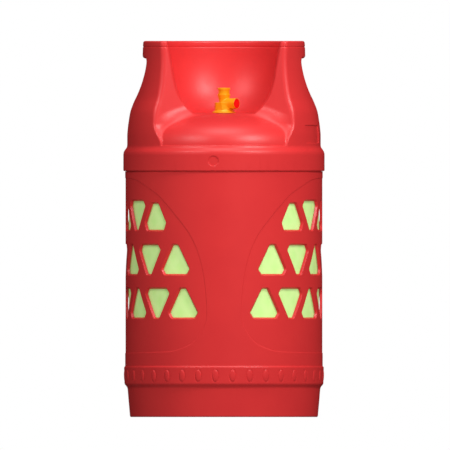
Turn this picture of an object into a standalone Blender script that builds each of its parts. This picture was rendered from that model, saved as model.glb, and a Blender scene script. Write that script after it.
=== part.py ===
"""A 24-litre class composite gas cylinder: a glass-fibre vessel in a two-part moulded casing.

Metres, +Z up. The origin is the centre of the base, and the bowl around the valve opens to -Y.
Angles round the casing are degrees from the front (-Y), growing towards +X.
"""

import math

import bmesh
import bpy
from mathutils import Vector

MM = 0.001
GAP = 0.3 * MM  # between pieces that touch
PAST = 20 * MM  # how far a cutter reaches past what it cuts

# Driving dimensions
DIAMETER = 305 * MM
HEIGHT = 570 * MM
WALL = 4.5 * MM
CASING_STEPS = 48
VESSEL_STEPS = 32
SMALL_STEPS = 24

# Casing
BAND_R = DIAMETER / 2
BODY_R = BAND_R - 2.8 * MM
SHOULDER_R = BAND_R - 5.9 * MM
BODY_IN_R = BODY_R - WALL
SEAM_Z = 372.8 * MM
BAND_TOP_Z = 399.4 * MM
SHOULDER_Z = 411 * MM
SPIGOT_R = BAND_R - WALL - GAP
SPIGOT_Z = 391 * MM
BOWL_Z = 460.3 * MM
BOWL_RIM_R = 106 * MM
BOWL_FLAT_R = BOWL_RIM_R - 45 * MM
BOWL_WALL_H = 90 * MM
GRIP_UNDER_Z = 543.3 * MM
RIM_R = 122.2 * MM

# Shoulder hump inside the front opening: a dome whose section is a superellipse
DOME_R = SHOULDER_R - 1.4 * MM
DOME_Z = 404 * MM
DOME_H = 61 * MM
DOME_POWER = 2.5

# Foot of the casing
RING_TOP_Z = 77.3 * MM
RING_LOW_Z = 48.5 * MM
FOOT_R = 142.2 * MM
FLOOR_Z = 4 * MM

# Vessel
SHELL_R = BODY_IN_R - 1.2 * MM
SHELL_T = 4 * MM
LINER_T = 2.2 * MM
SHELL_LOW_Z = 84 * MM
SHELL_HIGH_Z = 365 * MM
LOW_DOME_H = 70 * MM
HIGH_DOME_H = 75 * MM

# Neck
BOSS_R = 21 * MM
BOSS_BORE_R = 12.9 * MM
BOSS_FLANGE_R = 36 * MM
BOSS_FLANGE_T = 6 * MM
MOUTH_R = BOSS_FLANGE_R + 2 * MM
BOSS_TOP_Z = BOWL_Z - GAP
STEM_R = 12.5 * MM
GROMMET_R = 24 * MM

# Valve
VALVE_TOP_Z = 499 * MM
VALVE_LOW_Z = 440 * MM
OCTAGON_WIDTH = 27.3 * MM
OCTAGON_LOW_Z = 466 * MM
OCTAGON_TOP_Z = 476.7 * MM
SEAT_Z = 484 * MM
BRANCH_Z = 475 * MM
BRANCH_ANGLE = 53.0
BRANCH_R = 8.1 * MM
BRANCH_LENGTH = 24.3 * MM


# Points and outlines


def on_casing(angle, radius, z):
    """The point at this many degrees from the front."""
    turn = math.radians(angle)
    return Vector((radius * math.sin(turn), -radius * math.cos(turn), z))


def arc(centre, radius, start, end, steps):
    """Points (r, z) on an arc from start to end degrees, both included."""
    turns = [math.radians(start + (end - start) * i / steps) for i in range(steps + 1)]
    return [(centre[0] + radius * math.cos(t), centre[1] + radius * math.sin(t)) for t in turns]


def dome(radius, height, base_z, start_r, end_r, steps, power=2.0):
    """Points (r, z) on a dome's section, evenly spread by their angle on the ellipse."""
    first = math.asin(start_r / radius)
    last = math.asin(min(1.0, end_r / radius))
    points = []
    for i in range(steps + 1):
        r = radius * math.sin(first + (last - first) * i / steps)
        points.append((r, base_z + height * (1 - (r / radius) ** power) ** (1 / power)))
    return points


# Building blocks


def material(name, colour, roughness, metallic=0.0, alpha=1.0):
    made = bpy.data.materials.new(name)
    made.use_nodes = True
    shader = made.node_tree.nodes["Principled BSDF"]
    shader.inputs["Base Color"].default_value = (*colour, 1.0)
    shader.inputs["Roughness"].default_value = roughness
    shader.inputs["Metallic"].default_value = metallic
    shader.inputs["Alpha"].default_value = alpha
    return made


def finish(bm, name, look=None):
    """An object from a closed mesh. Without a material it is a cutter."""
    bmesh.ops.recalc_face_normals(bm, faces=bm.faces)
    mesh = bpy.data.meshes.new(name)
    bm.to_mesh(mesh)
    bm.free()
    made = bpy.data.objects.new(name, mesh)
    bpy.context.scene.collection.objects.link(made)
    if look:
        mesh.materials.append(look)
        mesh.shade_smooth()
        mesh.set_sharp_from_angle(angle=math.radians(30))
    else:
        made.hide_render = True
        made.display_type = "WIRE"
    return made


def turned(name, outline, look=None, steps=SMALL_STEPS):
    """A closed outline of (r, z) points turned about Z."""
    bm = bmesh.new()
    corners = [bm.verts.new((r, 0.0, z)) for r, z in outline]
    sides = [
        bm.edges.new((a, b))
        for a, b in zip(corners, corners[1:] + corners[:1])
        if max(a.co.x, b.co.x) > 0
    ]
    bmesh.ops.spin(
        bm,
        geom=corners + sides,
        cent=(0, 0, 0),
        axis=(0, 0, 1),
        angle=math.tau,
        steps=steps,
        use_merge=True,
    )
    bmesh.ops.remove_doubles(bm, verts=bm.verts, dist=1e-6)
    return finish(bm, name, look)


def prism(bm, near, far):
    """A closed solid between two rings of points that match one to one."""
    first = [bm.verts.new(p) for p in near]
    second = [bm.verts.new(p) for p in far]
    bm.faces.new(first)
    bm.faces.new(second[::-1])
    for i in range(len(first)):
        j = (i + 1) % len(first)
        bm.faces.new((first[i], second[i], second[j], first[j]))


def wrapped(bm, outline, inner_r, outer_r, facet):
    """A solid over an outline of (degrees, z), between two radii, that bends at each facet."""
    flat = bmesh.new()
    flat.faces.new([flat.verts.new((a, z, 0)) for a, z in outline])
    low = math.ceil(min(a for a, _ in outline) / facet)
    high = math.floor(max(a for a, _ in outline) / facet)
    for i in range(low, high + 1):
        geom = flat.verts[:] + flat.edges[:] + flat.faces[:]
        bmesh.ops.bisect_plane(
            flat, geom=geom, dist=1e-6, plane_co=(i * facet, 0, 0), plane_no=(1, 0, 0)
        )
    raised = bmesh.ops.extrude_face_region(flat, geom=flat.faces[:])["geom"]
    for item in raised:
        if isinstance(item, bmesh.types.BMVert):
            item.co.z = 1.0
    copies = {}
    for v in flat.verts:
        radius = outer_r if v.co.z > 0.5 else inner_r
        copies[v] = bm.verts.new(on_casing(v.co.x, radius, v.co.y))
    for face in flat.faces:
        bm.faces.new([copies[v] for v in face.verts])
    flat.free()


def join(target, other, operation, solver="EXACT"):
    step = target.modifiers.new(f"{operation.lower()}_{other.name}", "BOOLEAN")
    step.operation = operation
    step.object = other
    step.solver = solver


def cut(target, *cutters, solver="EXACT"):
    for cutter in cutters:
        join(target, cutter, "DIFFERENCE", solver)


def add(target, *others, solver="EXACT"):
    for other in others:
        join(target, other, "UNION", solver)


def spring(name, look, mean_r, wire_r, low_z, high_z, turns):
    """A coil about Z, drawn as a bevelled curve between two heights of its wire's centre."""
    per_turn = 10
    count = round(turns * per_turn)
    curve = bpy.data.curves.new(name, "CURVE")
    curve.dimensions = "3D"
    curve.bevel_depth = wire_r
    curve.bevel_resolution = 1
    curve.use_fill_caps = True
    line = curve.splines.new("POLY")
    line.points.add(count)
    for i, point in enumerate(line.points):
        turn = math.tau * i / per_turn
        z = low_z + (high_z - low_z) * i / count
        point.co = (mean_r * math.cos(turn), mean_r * math.sin(turn), z, 1)
    curve.materials.append(look)
    made = bpy.data.objects.new(name, curve)
    bpy.context.scene.collection.objects.link(made)
    return made


# Casing


def collar_blank(look):
    """The outside of the upper casing, before its bowl and openings are cut."""
    outline = [
        (0, HEIGHT),
        (RIM_R - 2 * MM, HEIGHT),
        (RIM_R, HEIGHT - 2 * MM),
        (RIM_R + 1.2 * MM, GRIP_UNDER_Z + 3 * MM),
        (124.9 * MM, 529 * MM),
        (128.4 * MM, 507 * MM),
        (132.3 * MM, 490 * MM),
        (137.9 * MM, 474.4 * MM),
        (142 * MM, 462.2 * MM),
        (145.1 * MM, 444 * MM),
        (SHOULDER_R, 426 * MM),
        (SHOULDER_R, SHOULDER_Z),
        (SHOULDER_R + 1.6 * MM, 407.2 * MM),
        (BAND_R - 1.2 * MM, 402.4 * MM),
        (BAND_R, BAND_TOP_Z - 1 * MM),
        (BAND_R, SEAM_Z + 1.5 * MM),
        (BAND_R - 1.5 * MM, SEAM_Z),
        (0, SEAM_Z),
    ]
    return turned("upper_casing", outline, look, CASING_STEPS)


def hump():
    """The shoulder that stays when the front of the collar is cut away."""
    outline = dome(DOME_R, DOME_H, DOME_Z, 0, DOME_R, 10, DOME_POWER)
    outline += [(DOME_R, BAND_TOP_Z + 4 * MM), (0, BAND_TOP_Z + 4 * MM)]
    return turned("shoulder_hump", outline, steps=CASING_STEPS)


def front_wedge():
    """Everything in front of the collar's two slanted front faces."""
    corner = Vector((93 * MM, -79.7 * MM, 565 * MM))
    leaning = Vector((-0.388, -0.915, 0.109)).normalized()
    bm = bmesh.new()
    bmesh.ops.create_cube(bm, size=1)
    size = Vector((2 * DIAMETER, DIAMETER, HEIGHT + PAST - SHOULDER_Z))
    middle = Vector((0, -DIAMETER / 2, SHOULDER_Z + 0.5 * MM + size.z / 2))
    for v in bm.verts:
        v.co = middle + v.co * size
    for side in (1, -1):
        flip = Vector((side, 1, 1))
        geom = bm.verts[:] + bm.edges[:] + bm.faces[:]
        sliced = bmesh.ops.bisect_plane(
            bm, geom=geom, plane_co=corner * flip, plane_no=leaning * flip, clear_inner=True
        )
        edges = [e for e in sliced["geom_cut"] if isinstance(e, bmesh.types.BMEdge)]
        bmesh.ops.contextual_create(bm, geom=edges)
    return finish(bm, "front_wedge")


def front_channel():
    """The U-shaped way from the front into the bowl."""
    side = [(86, 590), (84, 566), (78.7, 536), (73.4, 506), (65.1, 481.5), (54.5, 467), (45.4, 460.6)]
    half = [Vector((x * MM, 0, z * MM)) for x, z in side]
    half[-1].z = BOWL_Z + 0.2 * MM
    outline = half + [Vector((-p.x, 0, p.z)) for p in half[::-1]]
    bm = bmesh.new()
    front = Vector((0, -DIAMETER, 0))
    prism(bm, outline, [p + front for p in outline])
    return finish(bm, "front_channel")


def bowl():
    """The space round the valve: a flat floor that curves up into the wall."""
    outline = [(0, HEIGHT + PAST), (BOWL_RIM_R, HEIGHT + PAST), (BOWL_RIM_R, BOWL_Z + BOWL_WALL_H)]
    for r, z in arc((0, 0), 1, 0, -90, 7)[1:]:
        outline.append((BOWL_FLAT_R + (BOWL_RIM_R - BOWL_FLAT_R) * r, BOWL_Z + BOWL_WALL_H * (1 + z)))
    outline.append((0, BOWL_Z))
    return turned("bowl_space", outline, steps=CASING_STEPS)


def casing_hollow():
    """The space under the shoulders and the bowl, open downwards over the vessel."""
    skin_r, skin_h = DOME_R - WALL, DOME_H - WALL
    ceiling_z = BOWL_Z - WALL
    edge_r = skin_r * (1 - ((ceiling_z - DOME_Z) / skin_h) ** DOME_POWER) ** (1 / DOME_POWER)
    outline = [(0, ceiling_z)] + dome(skin_r, skin_h, DOME_Z, edge_r, skin_r, 3, DOME_POWER)
    outline += [
        (skin_r, BAND_TOP_Z + 3 * MM),
        (BAND_R - WALL, BAND_TOP_Z - 3 * MM),
        (BAND_R - WALL, SEAM_Z - PAST),
        (0, SEAM_Z - PAST),
    ]
    return turned("casing_hollow", outline, steps=CASING_STEPS)


def hand_holes():
    """A hole on each side under the grip: flat on top, half an ellipse below."""
    half_width, height, steps = 37 * MM, 58 * MM, 10
    outline = []
    for i in range(steps + 1):
        turn = math.pi * (1 + i / steps)
        across, down = half_width * math.cos(turn), height * math.sin(turn)
        outline.append(Vector((0, across, GRIP_UNDER_Z + down)))
    bm = bmesh.new()
    reach = Vector((DIAMETER, 0, 0))
    prism(bm, [p - reach for p in outline], [p + reach for p in outline])
    return finish(bm, "hand_holes")


def neck_hole():
    radius = GROMMET_R + GAP
    outline = [(0, BOWL_Z + PAST), (radius, BOWL_Z + PAST), (radius, BOWL_Z - PAST), (0, BOWL_Z - PAST)]
    return turned("neck_hole", outline)


def marking_recess():
    """A plain panel sunk 1 mm into the shoulder, right of the opening."""
    panel = [(57.7, 415 * MM), (78.5, 415 * MM), (78.5, 442 * MM), (57.7, 442 * MM)]
    bm = bmesh.new()
    wrapped(bm, panel, SHOULDER_R - 1.4 * MM, BAND_R + PAST, 360 / CASING_STEPS)
    return finish(bm, "marking_recess")


def round_mark():
    """A plain round dimple on the band."""
    bm = bmesh.new()
    steps, radius, z = 16, 8 * MM, 388 * MM
    rings = []
    for y in (-BAND_R + 1.6 * MM, -BAND_R - PAST):
        turns = [math.tau * i / steps for i in range(steps)]
        rings.append(
            [Vector((radius * math.cos(t) - 16 * MM, y, z + radius * math.sin(t))) for t in turns]
        )
    prism(bm, *rings)
    return finish(bm, "round_mark")


HOOK_ANGLES = [22.5 + 45 * i for i in range(8)]


def hook_blocks(name, grow):
    """The snap hooks on the lower casing's rim. Grown, they are the pockets that take them."""
    half = 3.0 + grow / (2.5 * MM)
    low_z = 381 * MM - grow
    high_z = 386 * MM + grow
    bm = bmesh.new()
    for angle in HOOK_ANGLES:
        left, right = angle - half, angle + half
        block = [(left, low_z), (right, low_z), (right, high_z), (left, high_z)]
        wrapped(bm, block, SPIGOT_R - 1 * MM, SPIGOT_R + 1.4 * MM + grow, 90)
    return finish(bm, name)


def upper_casing(look):
    """EXACT leaves edges open round the hand-holes, so MANIFOLD is used."""
    made = collar_blank(look)
    cut(made, front_wedge(), solver="MANIFOLD")
    add(made, hump(), solver="MANIFOLD")
    cutters = [bowl(), front_channel(), casing_hollow(), hand_holes(), neck_hole()]
    cutters += [marking_recess(), round_mark(), hook_blocks("hook_pockets", GAP)]
    cut(made, *cutters, solver="MANIFOLD")
    return made


def casing_cup(look):
    """The lower casing before its windows: a cup with a recessed floor and a lap joint on top."""
    outline = [
        (SPIGOT_R, SPIGOT_Z),
        (SPIGOT_R, SEAM_Z - GAP),
        (BODY_R, SEAM_Z - GAP),
        (BODY_R, RING_TOP_Z),
        (BODY_R + 1.6 * MM, RING_TOP_Z - 3.5 * MM),
        (BODY_R + 1.6 * MM, RING_LOW_Z + 4 * MM),
        (BODY_R + 0.6 * MM, RING_LOW_Z),
        (146.2 * MM, 44 * MM),
        (144.6 * MM, 26 * MM),
        (FOOT_R, 3 * MM),
        (FOOT_R - 2.5 * MM, 0),
        (FOOT_R - 22 * MM, 0),
        (FOOT_R - 25 * MM, FLOOR_Z),
        (14 * MM, FLOOR_Z),
        (14 * MM, FLOOR_Z + WALL),
        (FOOT_R - 8 * MM, FLOOR_Z + WALL),
        (140 * MM, 30 * MM),
        (BODY_IN_R, 52 * MM),
        (BODY_IN_R, SPIGOT_Z),
    ]
    return turned("lower_casing", outline, look, CASING_STEPS)


# Window rows on one side: first window's degrees from the front, degrees between, count, low z.
# The top row's last window stands on its own, so that it points up under the panel's arch.
WINDOW_ROWS = ((45.0, 18.0, 5, 282), (138.5, 0.0, 1, 282), (30.0, 20.0, 7, 215), (24.9, 18.6, 8, 149))
WINDOW_H = 47 * MM


def window_outline(middle, low_z, points_up):
    """A triangle with blunted corners: (degrees, z), narrow end up or down."""
    tip, wide, foot = 2.0, 9.7, 7.5
    shoulder = 0.19
    half = [(tip, 1.0), (wide, shoulder), (foot, 0.0)]
    outline = [(middle + a, h) for a, h in half] + [(middle - a, h) for a, h in half[::-1]]
    return [(a, low_z + WINDOW_H * (h if points_up else 1 - h)) for a, h in outline]


def windows():
    bm = bmesh.new()
    for side in (1, -1):
        for first, pitch, count, low in WINDOW_ROWS:
            for i in range(count):
                outline = window_outline(side * (first + i * pitch), low * MM, i % 2 == 0)
                near = [on_casing(a, BODY_IN_R - PAST / 4, z) for a, z in outline]
                far = [on_casing(a, BODY_R + PAST, z) for a, z in outline]
                prism(bm, near, far)
    return finish(bm, "windows")


def side_panels():
    """The shallow recess around each group of windows: arched on top, square-shouldered below."""
    half = [(90, 362), (64, 359.5), (49, 346), (39.4, 331.3), (23.7, 288.7), (17.1, 261), (12.6, 224)]
    half += [(10.3, 177), (10.4, 147), (13.2, 129), (18.4, 112.8), (25, 104.3), (33.9, 99), (90, 97)]
    bm = bmesh.new()
    for side in (0, 180):
        outline = [(side + a, z * MM) for a, z in half]
        outline += [(side + 180 - a, z * MM) for a, z in half[-2:0:-1]]
        wrapped(bm, outline, BODY_R - 0.6 * MM, BODY_R + PAST, 360 / CASING_STEPS)
    return finish(bm, "side_panels")


def grip_nubs():
    """36 oval bumps round the foot ring, 10 degrees apart."""
    bm = bmesh.new()
    middle_z, half_h, half_w, sides = 62.5 * MM, 8.8 * MM, 1.8, 6
    for i in range(36):
        rings = []
        for size, radius in ((1.0, BODY_R + 0.5 * MM), (0.6, BODY_R + 2.7 * MM)):
            turns = [math.tau * k / sides for k in range(sides)]
            rings.append(
                [
                    on_casing(
                        5 + 10 * i + half_w * size * math.cos(t),
                        radius,
                        middle_z + half_h * size * math.sin(t),
                    )
                    for t in turns
                ]
            )
        levels = [[bm.verts.new(p) for p in ring] for ring in rings]
        bm.faces.new(levels[0])
        bm.faces.new(levels[-1][::-1])
        for near, far in zip(levels, levels[1:]):
            for k in range(sides):
                m = (k + 1) % sides
                bm.faces.new((near[k], far[k], far[m], near[m]))
    return finish(bm, "grip_nubs")


def drain_holes():
    bm = bmesh.new()
    count, circle_r, hole_r, sides = 6, 80 * MM, 5 * MM, 10
    reach = Vector((0, 0, PAST))
    for i in range(count):
        centre = on_casing(30 + 360 * i / count, circle_r, 0)
        ring = [centre + on_casing(360 * k / sides, hole_r, 0) for k in range(sides)]
        prism(bm, [p - reach for p in ring], [p + reach for p in ring])
    return finish(bm, "drain_holes")


def lower_casing(look):
    """EXACT leaves edges open where the panels' walls meet the cup's facets, so MANIFOLD is used."""
    made = casing_cup(look)
    add(made, grip_nubs(), hook_blocks("snap_hooks", 0), solver="MANIFOLD")
    cut(made, side_panels(), windows(), drain_holes(), solver="MANIFOLD")
    return made


# Vessel


def high_dome(r, inset):
    """The height of the vessel's upper dome, this far inside its outer face."""
    return SHELL_HIGH_Z + (HIGH_DOME_H - inset) * math.sqrt(1 - (r / (SHELL_R - inset)) ** 2)


def vessel_wall(name, look, inset, thickness, neck):
    """A closed-bottom vessel skin. neck holds the points that lead from its inside to its outside."""
    outer_r, inner_r = SHELL_R - inset, SHELL_R - inset - thickness
    low, high = LOW_DOME_H - inset, HIGH_DOME_H - inset
    outside = dome(outer_r, high, SHELL_HIGH_Z, MOUTH_R, outer_r, 4)
    outside += below(dome(outer_r, low, SHELL_LOW_Z, 0, outer_r, 5)[::-1])
    inside = below(dome(inner_r, low - thickness, SHELL_LOW_Z, 0, inner_r, 5))
    inside += dome(inner_r, high - thickness, SHELL_HIGH_Z, MOUTH_R, inner_r, 4)[::-1]
    return turned(name, outside + inside + neck, look, VESSEL_STEPS)


def below(points):
    """The same dome hanging under the vessel's straight part."""
    return [(r, 2 * SHELL_LOW_Z - z) for r, z in points]


def composite_shell(look):
    neck_r = BOSS_R + GAP
    neck = [(neck_r, high_dome(neck_r, SHELL_T)), (neck_r, high_dome(neck_r, 0))]
    return vessel_wall("composite_shell", look, 0, SHELL_T, neck)


def flange_top(r):
    """The boss flange's upper face, just under the shell."""
    return high_dome(r, SHELL_T) - 3 * GAP


FLANGE_LOW_Z = flange_top(BOSS_FLANGE_R) - BOSS_FLANGE_T


def liner(look):
    """The gas-tight liner. Its mouth drops under the boss flange."""
    bore_r = STEM_R + 3 * MM
    high, low = FLANGE_LOW_Z - GAP, FLANGE_LOW_Z - GAP - LINER_T
    neck = [(MOUTH_R, low), (bore_r, low), (bore_r, high), (BOSS_FLANGE_R + 2 * GAP, high)]
    return vessel_wall("liner", look, SHELL_T + GAP, LINER_T, neck)


def boss(look):
    low = FLANGE_LOW_Z
    outline = [
        (BOSS_R, BOSS_TOP_Z),
        (BOSS_R, flange_top(BOSS_R)),
        (BOSS_FLANGE_R, flange_top(BOSS_FLANGE_R)),
        (BOSS_FLANGE_R, low),
        (26.5 * MM, low),
        (26.5 * MM, low + 2 * MM),
        (22.5 * MM, low + 2 * MM),
        (22.5 * MM, low),
        (BOSS_BORE_R, low),
        (BOSS_BORE_R, BOSS_TOP_Z - 2.6 * MM),
        (15.8 * MM, BOSS_TOP_Z - 2.6 * MM),
        (15.8 * MM, BOSS_TOP_Z),
    ]
    return turned("boss", outline, look)


def ring(name, look, inner_r, outer_r, low_z, high_z, chamfer=0.3 * MM):
    """A ring of rectangular section with broken outer corners."""
    outline = [
        (inner_r, high_z),
        (outer_r - chamfer, high_z),
        (outer_r, high_z - chamfer),
        (outer_r, low_z + chamfer),
        (outer_r - chamfer, low_z),
        (inner_r, low_z),
    ]
    return turned(name, outline, look)


def o_ring(name, look, mean_r, wire_r, z):
    return turned(name, arc((mean_r, z), wire_r, 360, 60, 5), look)


def base_cushion(look):
    """A foam ring that the vessel's bottom sits in."""
    inner_r, outer_r = 52 * MM, 122 * MM
    radius, height = SHELL_R + GAP, LOW_DOME_H + GAP
    outline = below(dome(radius, height, SHELL_LOW_Z, inner_r, outer_r, 5))
    low = FLOOR_Z + WALL + GAP
    outline += [(outer_r, low), (inner_r, low)]
    return turned("base_cushion", outline, look, VESSEL_STEPS)


def neck_grommet(look):
    """A rubber ring with a shoulder below, between the boss and the bowl's floor."""
    under = BOWL_Z - WALL - GAP
    inner_r = BOSS_R + GAP
    outline = [
        (inner_r, BOWL_Z - 0.5 * MM),
        (GROMMET_R, BOWL_Z - 0.5 * MM),
        (GROMMET_R, under),
        (GROMMET_R + 5 * MM, under),
        (GROMMET_R + 5 * MM, under - 3 * MM),
        (inner_r, under - 3 * MM),
    ]
    return turned("neck_grommet", outline, look)


# Valve


def along_branch(made):
    """Stands a shape made along +Z on the valve's side branch, its origin on the valve's axis."""
    made.rotation_euler = (math.radians(90), 0, math.radians(BRANCH_ANGLE))
    made.location = (0, 0, BRANCH_Z)
    return made


def valve_outside(look):
    outline = [
        (0, VALVE_TOP_Z),
        (9 * MM, VALVE_TOP_Z),
        (9.6 * MM, VALVE_TOP_Z - 0.6 * MM),
        (9.6 * MM, 495.8 * MM),
        (8.5 * MM, 495.2 * MM),
        (8.5 * MM, 490 * MM),
        (9.9 * MM, 489.3 * MM),
        (9.9 * MM, 487.8 * MM),
        (7.3 * MM, 477.5 * MM),
        (7.3 * MM, OCTAGON_LOW_Z + 2 * MM),
        (14 * MM, OCTAGON_LOW_Z),
        (17.8 * MM, 461.6 * MM),
        (17.8 * MM, BOWL_Z + GAP),
        (STEM_R, BOWL_Z + GAP),
        (STEM_R, VALVE_LOW_Z),
        (0, VALVE_LOW_Z),
    ]
    return turned("valve_body", outline, look)


def octagon():
    radius = OCTAGON_WIDTH / 2 / math.cos(math.pi / 8)
    bm = bmesh.new()
    turns = [math.radians(BRANCH_ANGLE - 90 + 22.5 + 45 * i) for i in range(8)]
    corners = [Vector((radius * math.cos(t), radius * math.sin(t), 0)) for t in turns]
    low = Vector((0, 0, OCTAGON_LOW_Z - 0.4 * MM))
    high = Vector((0, 0, OCTAGON_TOP_Z))
    prism(bm, [p + low for p in corners], [p + high for p in corners])
    return finish(bm, "valve_octagon")


def branch():
    outline = [
        (0, BRANCH_LENGTH),
        (BRANCH_R - 0.4 * MM, BRANCH_LENGTH),
        (BRANCH_R, BRANCH_LENGTH - 0.4 * MM),
        (BRANCH_R, 2 * MM),
        (0, 2 * MM),
    ]
    return along_branch(turned("valve_branch", outline))


def gas_way():
    """The bore: outlet, narrow throat at the poppet's seat, and the way up from the vessel."""
    outline = [
        (0, VALVE_TOP_Z + PAST),
        (6.6 * MM, VALVE_TOP_Z + PAST),
        (6.6 * MM, 488.6 * MM),
        (3 * MM, 488.6 * MM),
        (3 * MM, SEAT_Z),
        (4.9 * MM, SEAT_Z),
        (4.9 * MM, VALVE_LOW_Z - PAST),
        (0, VALVE_LOW_Z - PAST),
    ]
    return turned("gas_way", outline)


def relief_way():
    outline = [
        (0, BRANCH_LENGTH + PAST),
        (7.4 * MM, BRANCH_LENGTH + PAST),
        (7.4 * MM, 21.6 * MM),
        (5.7 * MM, 21.6 * MM),
        (5.7 * MM, 9.5 * MM),
        (2.2 * MM, 9.5 * MM),
        (2.2 * MM, 2 * MM),
        (0, 2 * MM),
    ]
    return along_branch(turned("relief_way", outline))


def valve_body(look):
    made = valve_outside(look)
    add(made, octagon(), branch())
    cut(made, gas_way(), relief_way())
    return made


def poppet(look):
    """Pin, head and guide stem. The origin is on its axis at the seat."""
    outline = [
        (0, 8.6 * MM),
        (1.3 * MM, 8.6 * MM),
        (1.7 * MM, 8.2 * MM),
        (1.7 * MM, -2.3 * MM),
        (4.5 * MM, -2.3 * MM),
        (4.5 * MM, -5.5 * MM),
        (1.7 * MM, -5.5 * MM),
        (1.7 * MM, -20 * MM),
        (0, -20 * MM),
    ]
    made = turned("poppet", outline, look)
    made.location.z = SEAT_Z
    return made


def relief_piston(look):
    outline = [
        (0, 17.8 * MM),
        (1.4 * MM, 17.8 * MM),
        (1.4 * MM, 12.6 * MM),
        (5.3 * MM, 12.6 * MM),
        (5.3 * MM, 11.2 * MM),
        (0, 11.2 * MM),
    ]
    return along_branch(turned("relief_piston", outline, look))


def relief_cap(look):
    """A push-in dust cap: its face fills the branch's mouth, its plug holds in the bore."""
    outline = [
        (0, BRANCH_LENGTH + 0.3 * MM),
        (6.7 * MM, BRANCH_LENGTH + 0.3 * MM),
        (7.1 * MM, BRANCH_LENGTH - 0.1 * MM),
        (7.1 * MM, 21.9 * MM),
        (5.4 * MM, 21.9 * MM),
        (5.4 * MM, 19.7 * MM),
        (4 * MM, 19.7 * MM),
        (4 * MM, 22.5 * MM),
        (0, 22.5 * MM),
    ]
    return along_branch(turned("relief_cap", outline, look))


def main():
    for old in list(bpy.data.objects):
        bpy.data.objects.remove(old)

    red = material("casing_red", (0.62, 0.02, 0.02), 0.4)
    green = material("composite_green", (0.5, 0.85, 0.3), 0.35, alpha=0.6)
    white = material("liner_plastic", (0.8, 0.85, 0.75), 0.5)
    brass = material("brass", (0.85, 0.5, 0.08), 0.3, 1.0)
    steel = material("spring_steel", (0.6, 0.6, 0.6), 0.35, 1.0)
    rubber = material("black_rubber", (0.02, 0.02, 0.02), 0.7)
    foam = material("grey_foam", (0.25, 0.25, 0.27), 0.9)
    cap_red = material("cap_red", (0.8, 0.01, 0.01), 0.3)

    upper_casing(red)
    lower_casing(red)
    base_cushion(foam)
    neck_grommet(rubber)

    composite_shell(green)
    liner(white)
    boss(brass)
    o_ring("boss_seal", rubber, 24.5 * MM, 0.9 * MM, FLANGE_LOW_Z + 0.95 * MM)

    valve_body(brass)
    o_ring("valve_oring", rubber, 14.2 * MM, 1.2 * MM, BOSS_TOP_Z - 1.3 * MM)
    ring("outlet_seal", rubber, 3.7 * MM, 6.3 * MM, 488.9 * MM, 492.6 * MM)
    poppet(brass)
    ring("poppet_seal", rubber, 2 * MM, 4.4 * MM, SEAT_Z - 2 * MM, SEAT_Z - 0.2 * MM)
    spring("poppet_spring", steel, 3.6 * MM, 0.5 * MM, 458.7 * MM, 477.7 * MM, 6)
    ring("spring_seat", brass, 2.2 * MM, 4.6 * MM, 455.4 * MM, 457.9 * MM)

    relief_piston(brass)
    along_branch(ring("relief_seal", rubber, 0.6 * MM, 4.3 * MM, 9.7 * MM, 11 * MM))
    along_branch(spring("relief_spring", steel, 3.5 * MM, 0.3 * MM, 13.3 * MM, 15.4 * MM, 2))
    along_branch(ring("relief_plug", brass, 2 * MM, 5.4 * MM, 17.3 * MM, 19.4 * MM))
    relief_cap(cap_red)


main()
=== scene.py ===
"""The composite gas cylinder's looks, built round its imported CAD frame.

Shapes are worked out in millimetres and scaled to metres when a mesh is made.
Turns round the casing are radians from the front (-Y), growing towards +X.
"""

import math

import bmesh
import bpy
import numpy as np
import openvdb
from mathutils import Matrix, Vector
from mathutils.geometry import delaunay_2d_cdt


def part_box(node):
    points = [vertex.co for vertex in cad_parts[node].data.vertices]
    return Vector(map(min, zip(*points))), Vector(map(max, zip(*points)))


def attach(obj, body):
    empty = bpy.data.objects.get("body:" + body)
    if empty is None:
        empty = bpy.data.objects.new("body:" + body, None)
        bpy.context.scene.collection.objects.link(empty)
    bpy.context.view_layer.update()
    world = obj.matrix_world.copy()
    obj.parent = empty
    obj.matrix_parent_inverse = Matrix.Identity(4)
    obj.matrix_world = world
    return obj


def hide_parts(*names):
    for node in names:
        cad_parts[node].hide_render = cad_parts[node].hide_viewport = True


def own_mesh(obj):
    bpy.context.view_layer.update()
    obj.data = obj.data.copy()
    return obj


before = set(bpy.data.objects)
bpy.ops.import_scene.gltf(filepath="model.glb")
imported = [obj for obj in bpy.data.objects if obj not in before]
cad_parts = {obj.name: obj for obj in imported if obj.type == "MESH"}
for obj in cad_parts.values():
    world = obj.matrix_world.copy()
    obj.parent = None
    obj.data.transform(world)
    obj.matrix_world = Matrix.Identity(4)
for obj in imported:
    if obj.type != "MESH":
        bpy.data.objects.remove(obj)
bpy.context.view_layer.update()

MM = 0.001


def corner_values(node):
    """A CAD node's lowest and highest corners in millimetres."""
    low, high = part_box(node)
    return np.array(low) / MM, np.array(high) / MM


UPPER_LOW, UPPER_HIGH = corner_values("upper_casing")
_, LOWER_HIGH = corner_values("lower_casing")
SHELL_LOW, SHELL_HIGH = corner_values("composite_shell")
VALVE_LOW, VALVE_HIGH = corner_values("valve_body")
BOSS_LOW, BOSS_HIGH = corner_values("boss")

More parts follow.
